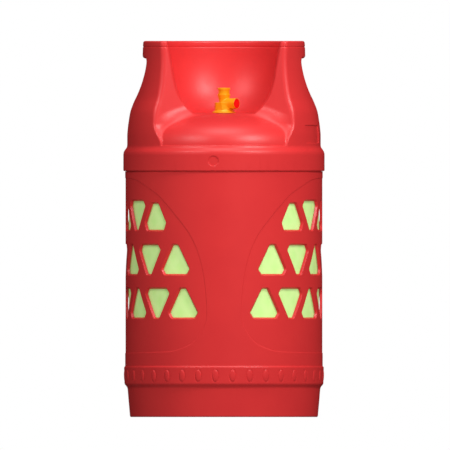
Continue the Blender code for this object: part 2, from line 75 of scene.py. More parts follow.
# Casing
WALL = 4.5
GAP = 0.3  # clearance between pieces
TOP_Z = UPPER_HIGH[2]
BAND_R = UPPER_HIGH[0]
SEAM_Z = UPPER_LOW[2]
SHOULDER_Z = SEAM_Z + 38.7
GROOVE_Z = TOP_Z - 9
GRIP_UNDER_Z = TOP_Z - 26.7
BODY_R = BAND_R - 2.8
BODY_IN_R = BODY_R - WALL
SPIGOT_R = BAND_R - WALL - GAP
LAP_TOP_Z = SHOULDER_Z - 12
BOWL_Z = TOP_Z - 109.7
BOWL_RIM_R = 106.0
BOWL_FLAT_R = BOWL_RIM_R - 45
BOWL_WALL_H = 90.0
NECK_HOLE_R = 24.3
DOME_R = BAND_R - 7.3
DOME_Z = BOWL_Z - 56.3
DOME_H = 61.0
DOME_POWER = 2.5
FLOOR_Z = 4.0
FLOOR_R = 110.0

# Vessel
SHELL_R = SHELL_HIGH[0]
SHELL_T = 4.0
NECK_R = 21.3
HIGH_DOME_H, LOW_DOME_H = 75, 70

# Valve
VALVE_TOP_Z = VALVE_HIGH[2]
OCTAGON_WIDTH = 27.3
BRANCH_Z = VALVE_TOP_Z - 24
BRANCH_TURN = math.radians(53)
BRANCH_R = 8.1
BRANCH_LENGTH = 24.3
POPPET_SEAT_Z = VALVE_TOP_Z - 15


# Curves and outlines

CORNER_COSINE = math.cos(math.radians(14))  # outlines are rounded where they turn by more


class Curve:
    """A smooth curve through (z, value) points that never overshoots them."""

    def __init__(self, points):
        z, value = np.array(sorted(points), float).T
        rise = np.diff(value) / np.diff(z)
        slope = np.concatenate([rise[:1], np.zeros(len(z) - 2), rise[-1:]])
        same_way = rise[1:] * rise[:-1] > 0
        mean = 2 * rise[1:] * rise[:-1] / np.where(same_way, rise[1:] + rise[:-1], 1)
        slope[1:-1] = np.where(same_way, mean, 0)
        self.z = np.linspace(z[0], z[-1], 2000)
        part = np.clip(np.searchsorted(z, self.z, side="right") - 1, 0, len(z) - 2)
        gap = z[part + 1] - z[part]
        t = (self.z - z[part]) / gap
        self.value = (
            (2 * t**3 - 3 * t**2 + 1) * value[part]
            + (t**3 - 2 * t**2 + t) * gap * slope[part]
            + (3 * t**2 - 2 * t**3) * value[part + 1]
            + (t**3 - t**2) * gap * slope[part + 1]
        )
        self.cosine = 1 / np.hypot(1, np.gradient(self.value, self.z))

    def beyond(self, across, z):
        """The distance across - value(z), measured square to the curve."""
        return (across - np.interp(z, self.z, self.value)) * np.interp(z, self.z, self.cosine)


def drawn(outline, radius, closed=False, steps=5):
    """Points and directions along an outline whose sharp corners are rounded."""
    outline = np.array(outline, float)
    last = len(outline) - 1
    points, ways = [], []
    for i, corner in enumerate(outline):
        is_end = not closed and i in (0, last)
        before = outline[i - 1] if closed or i > 0 else 2 * corner - outline[1]
        after = outline[(i + 1) % (last + 1)] if closed or i < last else 2 * corner - before
        gaps = np.linalg.norm([corner - before, after - corner], axis=1)
        come, leave = (corner - before) / gaps[0], (after - corner) / gaps[1]
        if is_end or come @ leave > CORNER_COSINE:
            points.append(corner)
            ways.append(come + leave)
            continue
        sizes = np.minimum(radius, 0.45 * gaps)
        start, stop = corner - sizes[0] * come, corner + sizes[1] * leave
        for t in np.linspace(0, 1, steps):
            points.append((1 - t) ** 2 * start + 2 * t * (1 - t) * corner + t**2 * stop)
            ways.append((1 - t) * sizes[0] * come + t * sizes[1] * leave)
    return np.array(points), np.array(ways)


def even_loop(points, spacing):
    """A closed loop drawn again with evenly spaced points."""
    ring = np.vstack([points, points[:1]])
    along = np.concatenate([[0], np.cumsum(np.linalg.norm(np.diff(ring, axis=0), axis=1))])
    count = max(8, round(along[-1] / spacing))
    at = np.linspace(0, along[-1], count, endpoint=False)
    return np.stack([np.interp(at, along, ring[:, k]) for k in range(2)], 1)


def through(points, steps=6):
    """A smooth closed loop through the points."""
    after = np.roll(points, -1, axis=0)
    way = after - np.roll(points, 1, axis=0)
    way /= np.linalg.norm(way, axis=1, keepdims=True)
    length = np.linalg.norm(after - points, axis=1, keepdims=True)
    t = (np.arange(steps) / steps)[:, None, None]
    made = (2 * t**3 - 3 * t**2 + 1) * points + (t**3 - 2 * t**2 + t) * way * length
    made += (3 * t**2 - 2 * t**3) * after + (t**3 - t**2) * np.roll(way, -1, axis=0) * length
    return made.transpose(1, 0, 2).reshape(-1, 2)


def outward(loop):
    """Unit vectors square to a closed loop, pointing away from what it encloses."""
    ahead = np.roll(loop, -1, axis=0) - np.roll(loop, 1, axis=0)
    across = np.stack([ahead[:, 1], -ahead[:, 0]], 1)
    across /= np.linalg.norm(across, axis=1, keepdims=True)
    x, y = loop.T
    area = (x * np.roll(y, -1) - y * np.roll(x, -1)).sum()
    return across * np.sign(area)


def circle(x, y, radius, count):
    """A closed loop of points evenly spaced on a circle."""
    angle = math.tau * np.arange(count) / count
    return np.stack([x + radius * np.cos(angle), y + radius * np.sin(angle)], 1)


def is_inside(loop, points):
    """Which points lie within a closed loop."""
    low, high = loop.min(0), loop.max(0)
    near = ((points > low) & (points < high)).all(1)
    x, y = points[near].T
    found = np.zeros(len(x), bool)
    for (ax, ay), (bx, by) in zip(loop, np.roll(loop, -1, axis=0)):
        if ay != by:
            crossing = ax + (y - ay) * (bx - ax) / (by - ay)
            found ^= ((ay > y) != (by > y)) & (x < crossing)
    near[near] = found
    return near


def is_clear(holes, points):
    """Which points lie in none of the holes."""
    clear = np.ones(len(points), bool)
    for hole in holes:
        clear &= ~is_inside(hole, points)
    return clear


# Meshes


def mesh_object(name, points, faces, look, normals=None):
    """A smooth object from points in millimetres, with given normals where there are any."""
    mesh = bpy.data.meshes.new(name)
    mesh.from_pydata((np.asarray(points) * MM).tolist(), [], [list(map(int, f)) for f in faces])
    mesh.validate()
    bm = bmesh.new()
    bm.from_mesh(mesh)
    bmesh.ops.recalc_face_normals(bm, faces=bm.faces)
    bm.to_mesh(mesh)
    bm.free()
    mesh.materials.append(look)
    mesh.shade_smooth()
    if normals is not None:
        mesh.normals_split_custom_set_from_vertices(np.asarray(normals).tolist())
    made = bpy.data.objects.new(name, mesh)
    bpy.context.scene.collection.objects.link(made)
    return made


class Skin:
    """The points, normals and faces of one closed mesh while it is being built."""

    def __init__(self):
        self.points = []
        self.normals = []
        self.faces = []

    def add(self, points, normals):
        first = len(self.points)
        self.points.extend(points)
        lengths = np.linalg.norm(normals, axis=1, keepdims=True)
        self.normals.extend(normals / np.maximum(lengths, 1e-9))
        return np.arange(first, len(self.points))

    def join(self, near, far):
        """Faces between two rings that start at the same turn but may differ in number."""
        if len(near) == len(far):
            for i in range(len(near)):
                j = (i + 1) % len(near)
                self.faces.append((near[i], far[i], far[j], near[j]))
            return
        i = k = 0
        while i < len(near) or k < len(far):
            a, b = near[i % len(near)], far[k % len(far)]
            move_near = k == len(far) or (i < len(near) and (i + 1) * len(far) <= (k + 1) * len(near))
            if move_near:
                i += 1
                c = near[i % len(near)]
            else:
                k += 1
                c = far[k % len(far)]
            if len({a, b, c}) == 3:
                self.faces.append((a, b, c))

    def run(self, first, outline, last, count, radius=0.6, swell=None, closed=False):
        """Rings along an outline of (r, z), between two rings that may be None.

        The outline keeps the solid on its right. swell(turn, z) gives how far the surface
        stands proud, and its slopes along the turn and up.
        """
        rings = [] if first is None else [first]
        for (r, z), (dr, dz) in zip(*drawn(outline, radius, closed)):
            turn = even_turns(count if r > 1e-6 else 1)
            height = np.full(len(turn), z)
            aims = np.tile([-dz, 0.0, dr], (len(turn), 1)) / math.hypot(dr, dz)
            grown = 0
            if swell:
                grown, slope_turn, slope_z = swell(turn, height)
                aims -= np.stack([0 * turn, slope_turn, slope_z], 1)
            rings.append(self.add(around(turn, r + grown, height), facing(turn, aims)))
        rings += [] if last is None else [last]
        for near, far in zip(rings, rings[1:] + (rings[:1] if closed else [])):
            self.join(near, far)
        return rings

    def finish(self, name, look):
        return mesh_object(name, self.points, self.faces, look, self.normals)


def even_turns(count):
    """Turns all the way round, starting at the back."""
    return -math.pi + math.tau * np.arange(count) / count


def around(turn, radius, z):
    """Points at these turns from the front."""
    return np.stack([radius * np.sin(turn), -radius * np.cos(turn), z + 0 * turn], 1)


def facing(turn, aims):
    """Vectors given as (outwards, along the turn, up), at these turns."""
    sine, cosine = np.sin(turn), np.cos(turn)
    out, along, up = aims.T
    return np.stack([out * sine + along * cosine, along * sine - out * cosine, up], 1)


def lathe(name, outline, look):
    """An outline of (r, z) turned about Z: closed, or from the axis to the axis."""
    skin = Skin()
    skin.run(None, outline, None, count=96, radius=0.4, closed=outline[0][0] > 0)
    return skin.finish(name, look)


# Distance fields


def round_in(a, b, k):
    """What lies in both a and b, with the edge between them rounded by k."""
    return np.minimum(-k, np.maximum(a, b)) + np.hypot(np.maximum(a + k, 0), np.maximum(b + k, 0))


def round_union(a, b, k):
    """What lies in a or b, with the corner between them filled by k."""
    return np.maximum(k, np.minimum(a, b)) - np.hypot(np.maximum(k - a, 0), np.maximum(k - b, 0))


def blend_between(low, high, value):
    """0 below low, 1 above high, and smooth between."""
    t = np.clip((value - low) / (high - low), 0, 1)
    return t * t * (3 - 2 * t)


def oval(across, up, half_width, half_height, power=2):
    """The distance outside an oval, or a superellipse of another power."""
    u, v = np.abs(across) / half_width, np.abs(up) / half_height
    size = np.maximum((u**power + v**power) ** (1 / power), 1e-3)
    steep = np.hypot(
        (u / size) ** (power - 1) / half_width, (v / size) ** (power - 1) / half_height
    )
    return (size - 1) / steep


def gradients(field, points, reach=0.02):
    """The field's slope at each point."""
    sides = [
        field(*(points + step).T) - field(*(points - step).T) for step in reach * np.eye(3)
    ]
    return np.stack(sides, 1) / (2 * reach)


def settled(field, points, most, rounds=4):
    """The points moved onto the field's zero surface, each round by most at the most."""
    for _ in range(rounds):
        slope = gradients(field, points)
        size = np.maximum((slope**2).sum(1), 0.05)
        move = -(field(*points.T) / size)[:, None] * slope
        length = np.maximum(np.linalg.norm(move, axis=1, keepdims=True), 1e-9)
        points = points + move * np.minimum(1, most / length)
    return points


def field_surface(field, low, high, voxel):
    """Points and faces of the field's zero surface, on a grid of voxels."""
    axes = [np.arange(a, b + voxel, voxel, dtype=np.float32) for a, b in zip(low, high)]
    values = np.empty([len(axis) for axis in axes], np.float32)
    y, z = axes[1][None, :, None], axes[2][None, None, :]
    slab = 12
    for start in range(0, len(axes[0]), slab):
        x = axes[0][start : start + slab, None, None]
        values[start : start + slab] = field(x, y, z)
    grid = openvdb.FloatGrid(background=3 * voxel)
    grid.copyFromArray(values)
    points, faces = grid.convertToQuads(0.0)
    return points.astype(float) * voxel + [axis[0] for axis in axes], faces


def field_object(name, field, low, high, voxel, triangles, look, refine=None):
    """A mesh of the field's zero surface, thinned, then settled on it with exact normals."""
    points, faces = field_surface(field, low, high, voxel)
    rough = mesh_object(name + "_rough", settled(field, points, voxel), faces, look)
    thin = rough.modifiers.new("thin", "DECIMATE")
    thin.ratio = min(1.0, triangles / (2 * len(faces)))
    thinned = rough.evaluated_get(bpy.context.evaluated_depsgraph_get()).to_mesh()
    bm = bmesh.new()
    bm.from_mesh(thinned)
    bpy.data.objects.remove(rough)
    bmesh.ops.scale(bm, vec=Vector((1, 1, 1)) / MM, verts=bm.verts)
    if refine:
        refine(bm)
    points = np.array([v.co for v in bm.verts])
    faces = [[v.index for v in f.verts] for f in bm.faces]
    bm.free()
    points = settled(field, points, voxel / 4)
    return mesh_object(name, points, faces, look, gradients(field, points))


# Upper casing

# The casing's outline, as (height over the seam, how far inside the band)
COLLAR_POINTS = (
    (0, 0), (24.7, 0), (28.8, 0.7), (31.9, 2.4), (34.9, 4.6), (37.9, 5.8), (41, 5.9), (53.2, 5.9),
    (65.2, 6.8), (77.2, 8.4), (89.2, 10.5), (101.2, 14.6), (108.2, 17.5), (117.2, 20.2),
    (134.2, 24.1), (156.2, 27.6), (172.2, 29.1), (187.2, 29.6), (197.2, 30.3),
)  # fmt: skip
# The way in from the front, as (height over the bowl's floor, half its width)
CHANNEL_POINTS = (
    (0, 45.4), (8, 54.7), (23.2, 65.6), (45.7, 73.4), (75.7, 78.7), (105.7, 84), (131.7, 88.6),
)  # fmt: skip
COLLAR = Curve([(SEAM_Z + up, BAND_R - inside) for up, inside in COLLAR_POINTS])
CHANNEL = Curve([(BOWL_Z + up, half) for up, half in CHANNEL_POINTS])
# A point on the right-hand slanted front face, and the way that the face looks
FRONT_CORNER = (93.0, -79.7, TOP_Z - 5)
FRONT_LEAN = (-0.388, -0.915, 0.109)
FRONT_STEP = 11  # how much further forward the faces stand at the shoulder
HAND_HALF_WIDTH, HAND_DEPTH = 36, 58

LINE_DEPTH, LINE_HALF = 0.9, 0.8
DIMPLE_X, DIMPLE_Z = -16, SEAM_Z + 15.2
DIMPLE_R, DIMPLE_DEPTH = 7.7, 1.2
PLATE_TURN, PLATE_Z = 68.1, SEAM_Z + 55.7
PLATE_HALF_WIDTH, PLATE_HALF_HEIGHT, PLATE_DEPTH = 26.6, 13.5, 1.6
PLATE_DEGREE = 2.56  # millimetres a degree on the collar's wall there


def in_front(x, y, z):
    """The distance in front of the collar's two slanted front faces."""
    across = FRONT_LEAN[0] * (np.abs(x) - FRONT_CORNER[0])
    flat = across + FRONT_LEAN[1] * (y - FRONT_CORNER[1]) + FRONT_LEAN[2] * (z - FRONT_CORNER[2])
    return flat - FRONT_STEP * (1 - blend_between(SHOULDER_Z + 2, SHOULDER_Z + 34, z))


def bowl_space(x, y, z, r):
    """The bowl round the valve and the U-shaped way into it from the front."""
    across, down = np.maximum(r - BOWL_FLAT_R, 0), np.minimum(z - BOWL_Z - BOWL_WALL_H, 0)
    bowl = oval(across, down, BOWL_RIM_R - BOWL_FLAT_R, BOWL_WALL_H)
    channel = round_in(CHANNEL.beyond(np.abs(x), z), BOWL_Z - z, 1.0)
    fillet = 3 * blend_between(BOWL_Z + 1, BOWL_Z + 9, z)
    return round_union(bowl, np.maximum(channel, y), fillet)


def hand_hole(y, z):
    """A way through under the grip on each side: flat on top, half an oval below."""
    up = z - GRIP_UNDER_Z
    return round_in(oval(y, up, HAND_HALF_WIDTH, HAND_DEPTH), up, 9)


def under_bowl(r, z):
    """The hollow over the vessel."""
    cap = oval(r, np.maximum(z - DOME_Z, 0), DOME_R - WALL, DOME_H - WALL, DOME_POWER)
    lap = np.maximum(r - SPIGOT_R - GAP, z - LAP_TOP_Z)
    return np.minimum(np.maximum(cap, z - BOWL_Z + WALL), lap)


def marks(x, y, z):
    """How deep the collar's line, its round dimple and its plain plate are sunk at a point."""
    line = LINE_DEPTH * np.exp(-(((z - GROOVE_Z) / LINE_HALF) ** 2))
    past = np.hypot(x - DIMPLE_X, z - DIMPLE_Z) - DIMPLE_R
    dimple = DIMPLE_DEPTH * (1 - blend_between(-0.5, 0.5, past)) * (y < -100)
    turn = np.degrees(np.arctan2(x, -y))
    across = np.abs(turn - PLATE_TURN) * PLATE_DEGREE - PLATE_HALF_WIDTH
    past = round_in(across, np.abs(z - PLATE_Z) - PLATE_HALF_HEIGHT, 3)
    plate = PLATE_DEPTH * (1 - blend_between(-0.6, 0.6, past)) * (np.hypot(x, y) > 130)
    return line + dimple + plate


def upper_casing_field(x, y, z):
    """The band, shoulder and collar, less the bowl, the hand-holes and the hollow below."""
    r = np.hypot(x, y)
    outside = COLLAR.beyond(r, z)
    hump = oval(r, np.maximum(z - DOME_Z, 0), DOME_R, DOME_H, DOME_POWER)
    fillet = 2 + 16 * blend_between(BOWL_Z - 36, BOWL_Z, z)
    kept = round_union(in_front(x, y, z), hump, fillet)
    solid = round_in(outside, kept, 1 + 5 * blend_between(DOME_Z, BOWL_Z + 15, z))
    solid = np.minimum(solid, round_in(outside, z - SHOULDER_Z, 1.5))
    edge = 2.5 + 1.5 * blend_between(BOWL_Z + 6, BOWL_Z + 30, z)
    solid = round_in(solid, -bowl_space(x, y, z, r), edge)
    solid = round_in(solid, -hand_hole(y, z), 5.0)
    solid = round_in(solid, z - TOP_Z, 3.0)
    solid = round_in(solid, -np.minimum(under_bowl(r, z), r - NECK_HOLE_R), 1.0)
    solid = round_in(solid, SEAM_Z - z, 1.2)
    return solid + marks(x, y, z)


def split_edges(bm, low, high, longest=0.9):
    """Halves the long edges of the faces whose middles lie between two corners."""
    picked = set()
    for face in bm.faces:
        middle = face.calc_center_median()
        if all(a < b < c for a, b, c in zip(low, middle, high)):
            picked.update(face.edges)
    long = [edge for edge in bm.edges if edge in picked and edge.calc_length() > longest]
    bmesh.ops.subdivide_edges(bm, edges=long, cuts=1)
    bmesh.ops.triangulate(bm, faces=[f for f in bm.faces if len(f.verts) > 3])


def add_detail(bm):
    """Rows of edges along the collar's line, and a finer mesh round its marks and neck hole."""
    for step in (-2, -1, 0, 1, 2):
        level = Vector((0, 0, GROOVE_Z + step * LINE_HALF))
        geom = bm.verts[:] + bm.edges[:] + bm.faces[:]
        bmesh.ops.bisect_plane(bm, geom=geom, dist=0.05, plane_co=level, plane_no=(0, 0, 1))
    bmesh.ops.triangulate(bm, faces=[f for f in bm.faces if len(f.verts) > 3])
    round_dimple = [(DIMPLE_X + side, side - 150, DIMPLE_Z + side) for side in (-11, 11)]
    round_plate = [(118, -84, PLATE_Z - 17.5), (147, -24, PLATE_Z + 17.5)]
    round_neck = [(-27, -27, BOWL_Z - WALL - 2), (27, 27, BOWL_Z + 2)]
    for low, high in (round_dimple, round_plate, round_neck):
        for _ in range(2):
            split_edges(bm, low, high)


def upper_casing(look):
    """The shoulder, band and collar, with the bowl, the way in and the hand-holes."""
    reach = BAND_R + 2
    low, high = (-reach, -reach, SEAM_Z - 3), (reach, reach, TOP_Z + 3)
    voxel = 1.4
    triangles = 120_000
    made = field_object(
        "upper_casing_skin", upper_casing_field, low, high, voxel, triangles, look, add_detail
    )
    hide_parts("upper_casing")
    return made


# Lower casing

WALL_LOW, WALL_HIGH, WALL_ROWS = 80.0, SEAM_Z - 1.0, 56
CENTRE_HOLE_R, DRAIN_R, DRAINS, DRAIN_CIRCLE_R = 14, 5, 6, 80

NUBS = 36
NUB_LOW, NUB_HIGH = 52.0, 73.0
NUB_HALF_WIDTH, NUB_HALF_HEIGHT, NUB_RISE = 4.6, 8.8, 1.1
MOAT_SIZE, MOAT_WIDTH, MOAT_DEPTH = 1.08, 0.14, 0.5  # the sizes are shares of the nub's own

FILLET = 0.9
INNER_EDGE = 0.3
DRAFT = 1.9
WINDOW_H = 47.0
WINDOW_CORNER, POINT_GAP = 2.0, 2.4
# Half of a window's outline, as (degrees from its middle, share of its height)
WINDOW_HALF = ((2.0, 1.0), (9.7, 0.19), (7.5, 0.0))
CORNER_WINDOW_HALF = ((2.8, 0.914), (8.8, 0.265), (7.0, 0.0))
# On one side: first window's degrees from the front, degrees between, how many, low z
WINDOW_ROWS = ((45, 18, 5, 282), (138.5, 0, 1, 282), (30, 20, 7, 215), (24.9, 18.6, 8, 149))
WINDOWS_A_SIDE = sum(row[2] for row in WINDOW_ROWS)
PANEL_DEPTH, PANEL_EDGE = 0.6, 0.7
# The front half of a panel's outline, as (degrees from the front, z)
PANEL_SIDE = (
    (90, 362), (64, 359.5), (49, 346), (39.4, 331.3), (23.7, 288.7), (17.1, 261), (12.6, 224),
    (10.3, 177), (10.4, 147), (13.2, 129), (18.4, 112.8), (25, 104.3), (33.9, 99), (90, 97),
)  # fmt: skip


def flat_points(outline):
    """Points (degrees, z) on the unrolled wall, in millimetres."""
    degrees, z = np.array(outline, float).T
    return np.stack([np.radians(degrees) * BODY_R, z], 1)


def window_loops():
    """The windows' outlines: triangles with blunted corners, pointing up and down in turn."""
    loops = []
    for side in (-1, 1):
        for first, pitch, count, low in WINDOW_ROWS:
            for i in range(count):
                half = CORNER_WINDOW_HALF if len(loops) % WINDOWS_A_SIDE == 0 else WINDOW_HALF
                middle = side * (first + i * pitch)
                corners = [(middle + a, h) for a, h in half]
                corners += [(middle - a, h) for a, h in half[::-1]]
                corners = [(a, low + WINDOW_H * (1 - h if i % 2 else h)) for a, h in corners]
                outline, _ = drawn(flat_points(corners), WINDOW_CORNER, closed=True)
                loops.append(even_loop(outline, POINT_GAP))
    return loops


def panel_loops():
    """The outlines of the shallow recess round each group of windows."""
    loops = []
    for side in (-90, 90):
        half = [(side - 90 + a, z) for a, z in PANEL_SIDE]
        half += [(side + 90 - a, z) for a, z in PANEL_SIDE[-2:0:-1]]
        loops.append(even_loop(through(flat_points(half)), 3.0))
    return loops


def on_wall(flat, depth):
    """Points at this depth in the round wall, from points on the unrolled wall."""
    return around(flat[:, 0] / BODY_R, BODY_R - depth, flat[:, 1])


def aimed_on_wall(flat, out, side):
    """Directions at points of the round wall: outwards, and along the unrolled wall."""
    aims = np.stack([out, side[:, 0], side[:, 1]], 1)
    return facing(flat[:, 0] / BODY_R, aims)


def on_floor(flat, depth):
    """Points at this height over the floor's underside."""
    return np.stack([flat[:, 0], flat[:, 1], FLOOR_Z + depth], 1)


def aimed_on_floor(_, out, side):
    """Directions at points of the floor: downwards, and along it."""
    return np.stack([side[:, 0], side[:, 1], -out], 1)


def triangulated(flat, loops, starts, holes):
    """Triangles over flat points, with edges along every loop and none inside the holes."""
    fixed = []
    for start, loop in zip(starts.tolist(), loops):
        size = len(loop)
        fixed += [(start + i, start + (i + 1) % size) for i in range(size)]
    points = [Vector(point) for point in flat.tolist()]
    _, _, faces, origin, _, _ = delaunay_2d_cdt(points, fixed, [], 0, 1e-6)
    faces = np.array([found[0] for found in origin])[np.array(faces)]
    return faces[is_clear(holes, flat[faces].mean(1))]


def sunk(flat, panels, starts):
    """How deep each point lies in the panels, and the slope there."""
    depth = np.zeros(len(flat))
    slope = np.zeros((len(flat), 2))
    for start, loop in zip(starts, panels):
        depth[is_inside(loop, flat)] = PANEL_DEPTH
        edge = slice(start, start + len(loop))
        depth[edge] = PANEL_DEPTH / 2
        slope[edge] = -outward(loop) * PANEL_DEPTH / PANEL_EDGE
    return depth, slope


def pierce(skin, place, aim, edges, holes, extra, panels=(), weld=(), draft=0.0):
    """Both faces of a flat wall with rounded holes, which are narrower inside by draft.

    place(flat, depth) gives points and aim(flat, out, side) gives normals. Returns the
    indices of the outer and the inner points, in the order edges, holes, panels, extra.
    """
    rings = [loop + FILLET * outward(loop) for loop in holes]
    shifts = (-PANEL_EDGE, 0.0, PANEL_EDGE)
    steps = [loop + shift * outward(loop) for loop in panels for shift in shifts]
    loops = rings + steps
    starts = np.cumsum([len(edges)] + [len(loop) for loop in loops])
    flat = np.vstack([edges, *loops, extra])
    faces = triangulated(flat, loops, starts, rings)
    depth, slope = sunk(flat, panels, starts[len(rings) + 1 :: len(shifts)])
    ones = np.ones(len(flat))
    outer = skin.add(place(flat, depth), aim(flat, ones, slope))
    for start, loop in zip(starts, holes):
        flat[start : start + len(loop)] = loop + (INNER_EDGE - draft) * outward(loop)
    inner = skin.add(place(flat, WALL * ones), aim(flat, -ones, 0 * slope))
    for gone, kept in weld:
        outer[gone], inner[gone] = outer[kept], inner[kept]
    skin.faces += [tuple(outer[f]) for f in faces] + [tuple(inner[f][::-1]) for f in faces]
    for start, loop in zip(starts, holes):
        span = slice(start, start + len(loop))
        rim(skin, place, aim, loop, depth[start], outer[span], inner[span], draft)
    return outer, inner


def rim(skin, place, aim, loop, depth, outer, inner, draft):
    """The wall of one hole, between its loops of points on the two faces."""
    away = outward(loop)
    ones = np.ones(len(loop))
    bend = FILLET * (1 - math.sqrt(0.5))
    lean = draft / (WALL - FILLET)
    steps = ((bend, depth + bend, 1), (0, depth + FILLET, lean), (-draft, WALL - INNER_EDGE, lean))
    previous = outer
    for shift, down, out in steps:
        flat = loop + shift * away
        made = skin.add(place(flat, down * ones), aim(flat, out * ones, -away))
        skin.join(previous, made)
        previous = made
    skin.join(previous, inner)


def spread(points, holes, panels, gap):
    """Those points that keep this gap from every loop and lie in none of the holes."""
    keep = np.ones(len(points), bool)
    for loop in holes + panels:
        low, high = loop.min(0) - gap, loop.max(0) + gap
        near = np.flatnonzero(((points > low) & (points < high)).all(1))
        gaps = np.linalg.norm(points[near, None] - loop[None], axis=2).min(1)
        keep[near[gaps < gap]] = False
    return points[keep & is_clear(holes, points)]


def casing_wall(skin, count):
    """The round wall with its windows and panels: its rings (outer, inner) low and high."""
    half = math.pi * BODY_R
    across = np.linspace(-half, half, count + 1)
    levels = np.linspace(WALL_LOW, WALL_HIGH, WALL_ROWS)
    rows = [np.stack([across, np.full(count + 1, z)], 1) for z in levels]
    between = levels[1:-1]
    sides = [np.stack([np.full(len(between), x), between], 1) for x in (-half, half)]
    edges = np.vstack([rows[0], rows[-1], *sides])
    left = 2 * (count + 1)
    right = left + len(between)
    weld = [(count, 0), (2 * count + 1, count + 1)]
    weld += [(right + i, left + i) for i in range(len(between))]
    holes, panels = window_loops(), panel_loops()
    grid = np.vstack([row[1:-1] for row in rows[1:-1]])
    extra = spread(grid, holes, panels, POINT_GAP)
    outer, inner = pierce(skin, on_wall, aimed_on_wall, edges, holes, extra, panels, weld, DRAFT)
    low, high = slice(0, count), slice(count + 1, 2 * count + 1)
    return outer[low], inner[low], outer[high], inner[high]


def casing_floor(skin, count):
    """The floor with its centre hole and its drain holes: its outer and inner edge rings."""
    turn = even_turns(count)
    edges = FLOOR_R * np.stack([np.sin(turn), -np.cos(turn)], 1)
    holes = [circle(0, 0, CENTRE_HOLE_R, 48)]
    for turn in math.radians(30) + math.tau * np.arange(DRAINS) / DRAINS:
        x, y = DRAIN_CIRCLE_R * math.cos(turn), DRAIN_CIRCLE_R * math.sin(turn)
        holes.append(circle(x, y, DRAIN_R, 24))
    steps = np.arange(-105, 106, 7.5)
    grid = np.stack(np.meshgrid(steps, steps), -1).reshape(-1, 2)
    grid = grid[np.hypot(*grid.T) < FLOOR_R - 5]
    extra = spread(grid, holes, [], 3.0)
    outer, inner = pierce(skin, on_floor, aimed_on_floor, edges, holes, extra)
    return outer[:count], inner[:count]


def nubs(turn, z):
    """How far the oval grip nubs stand proud of the moats round them, and their slopes."""
    step = math.tau / NUBS
    across = ((turn / step) % 1 - 0.5) * step * BODY_R
    up = z - (NUB_LOW + NUB_HIGH) / 2
    size = np.maximum(np.hypot(across / NUB_HALF_WIDTH, up / NUB_HALF_HEIGHT), 0.01)
    dome = NUB_RISE * np.sqrt(np.maximum(1 - size**2, 0))
    off = (size - MOAT_SIZE) / MOAT_WIDTH
    moat = MOAT_DEPTH * np.exp(-(off**2)) * (np.abs(up) < 10.4)
    steep = moat * 2 * off / MOAT_WIDTH - NUB_RISE**2 * size / np.maximum(dome, 0.45) * (size < 1)
    slope_turn = steep * across / (NUB_HALF_WIDTH**2 * size)
    return dome - moat, slope_turn, steep * up / (NUB_HALF_HEIGHT**2 * size)


def casing_band(skin, first, count, fine):
    """The round bead under the wall and the band of nubs below it."""
    bead_r = BODY_R + 1.6
    bead = [(BODY_R, 79), (BODY_R, 77.2), (bead_r, 75.6), (bead_r, NUB_HIGH + 0.6)]
    above = skin.run(first, bead, None, count, 1.2)
    levels = np.arange(NUB_HIGH, NUB_LOW - 0.1, -1.05)
    rows = [(bead_r - 0.025 * (NUB_HIGH - z), z) for z in levels]
    return skin.run(above[-1], rows, None, fine, swell=nubs)[-1]


def lower_casing(look):
    """The windowed cup, its spigot inside the seam, its ring of nubs and its foot."""
    count, fine = ((240, 1080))
    skin = Skin()
    outer_low, inner_low, outer_high, inner_high = casing_wall(skin, count)
    under = SEAM_Z - GAP
    spigot = [(BODY_IN_R, SEAM_Z), (BODY_IN_R, LOWER_HIGH[2]), (SPIGOT_R, LOWER_HIGH[2])]
    spigot += [(SPIGOT_R, under), (BODY_R, under), (BODY_R, under - 0.6)]
    skin.run(inner_high, spigot, outer_high, count)
    band = casing_band(skin, outer_low, count, fine)
    foot = [(BODY_R + 1.0, NUB_LOW - 0.7), (BODY_R + 0.6, 49.6), (146.3, 44.8), (145.6, 39)]
    foot += [(144.6, 26), (143.5, 14), (142.3, 0), (120.5, 0), (117, FLOOR_Z), (112, FLOOR_Z)]
    floor_outer, floor_inner = casing_floor(skin, count)
    skin.run(band, foot, floor_outer, count, 2.2)
    inside = [(112, FLOOR_Z + WALL), (134, FLOOR_Z + WALL), (140, 30), (BODY_IN_R, 52)]
    skin.run(floor_inner, inside + [(BODY_IN_R, 79)], inner_low, count, 3.0)
    made = skin.finish("lower_casing_skin", look)
    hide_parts("lower_casing")
    return made


# Vessel and small pieces


def ellipse(radius, height, base_z, start_r, end_r, steps):
    """Points (r, z) on a dome's section."""
    turns = np.linspace(math.asin(start_r / radius), math.asin(min(1, end_r / radius)), steps)
    return [(radius * math.sin(t), base_z + height * math.cos(t)) for t in turns]


def composite_shell(look):
    """The wound vessel: two domes and a straight part, open at the neck."""
    low_z, high_z = SHELL_LOW[2] + LOW_DOME_H, SHELL_HIGH[2] - HIGH_DOME_H
    sections = []
    for inset in (0, SHELL_T):
        radius = SHELL_R - inset
        high = ellipse(radius, HIGH_DOME_H - inset, high_z, NECK_R, radius, 28)
        high[0] = (NECK_R, SHELL_HIGH[2] - 0.6 - inset)
        low = ellipse(radius, -(LOW_DOME_H - inset), low_z, 0, radius, 26)[::-1]
        straight = [(radius, z) for z in np.linspace(high_z, low_z, 12)[1:-1]]
        sections.append(high + straight + low)
    skin = Skin()
    outside = skin.run(None, sections[0], None, 192)
    inside = skin.run(None, sections[1][::-1], None, 192)
    skin.join(inside[-1], outside[0])
    made = skin.finish("composite_shell_wound", look)
    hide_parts("composite_shell")
    return made


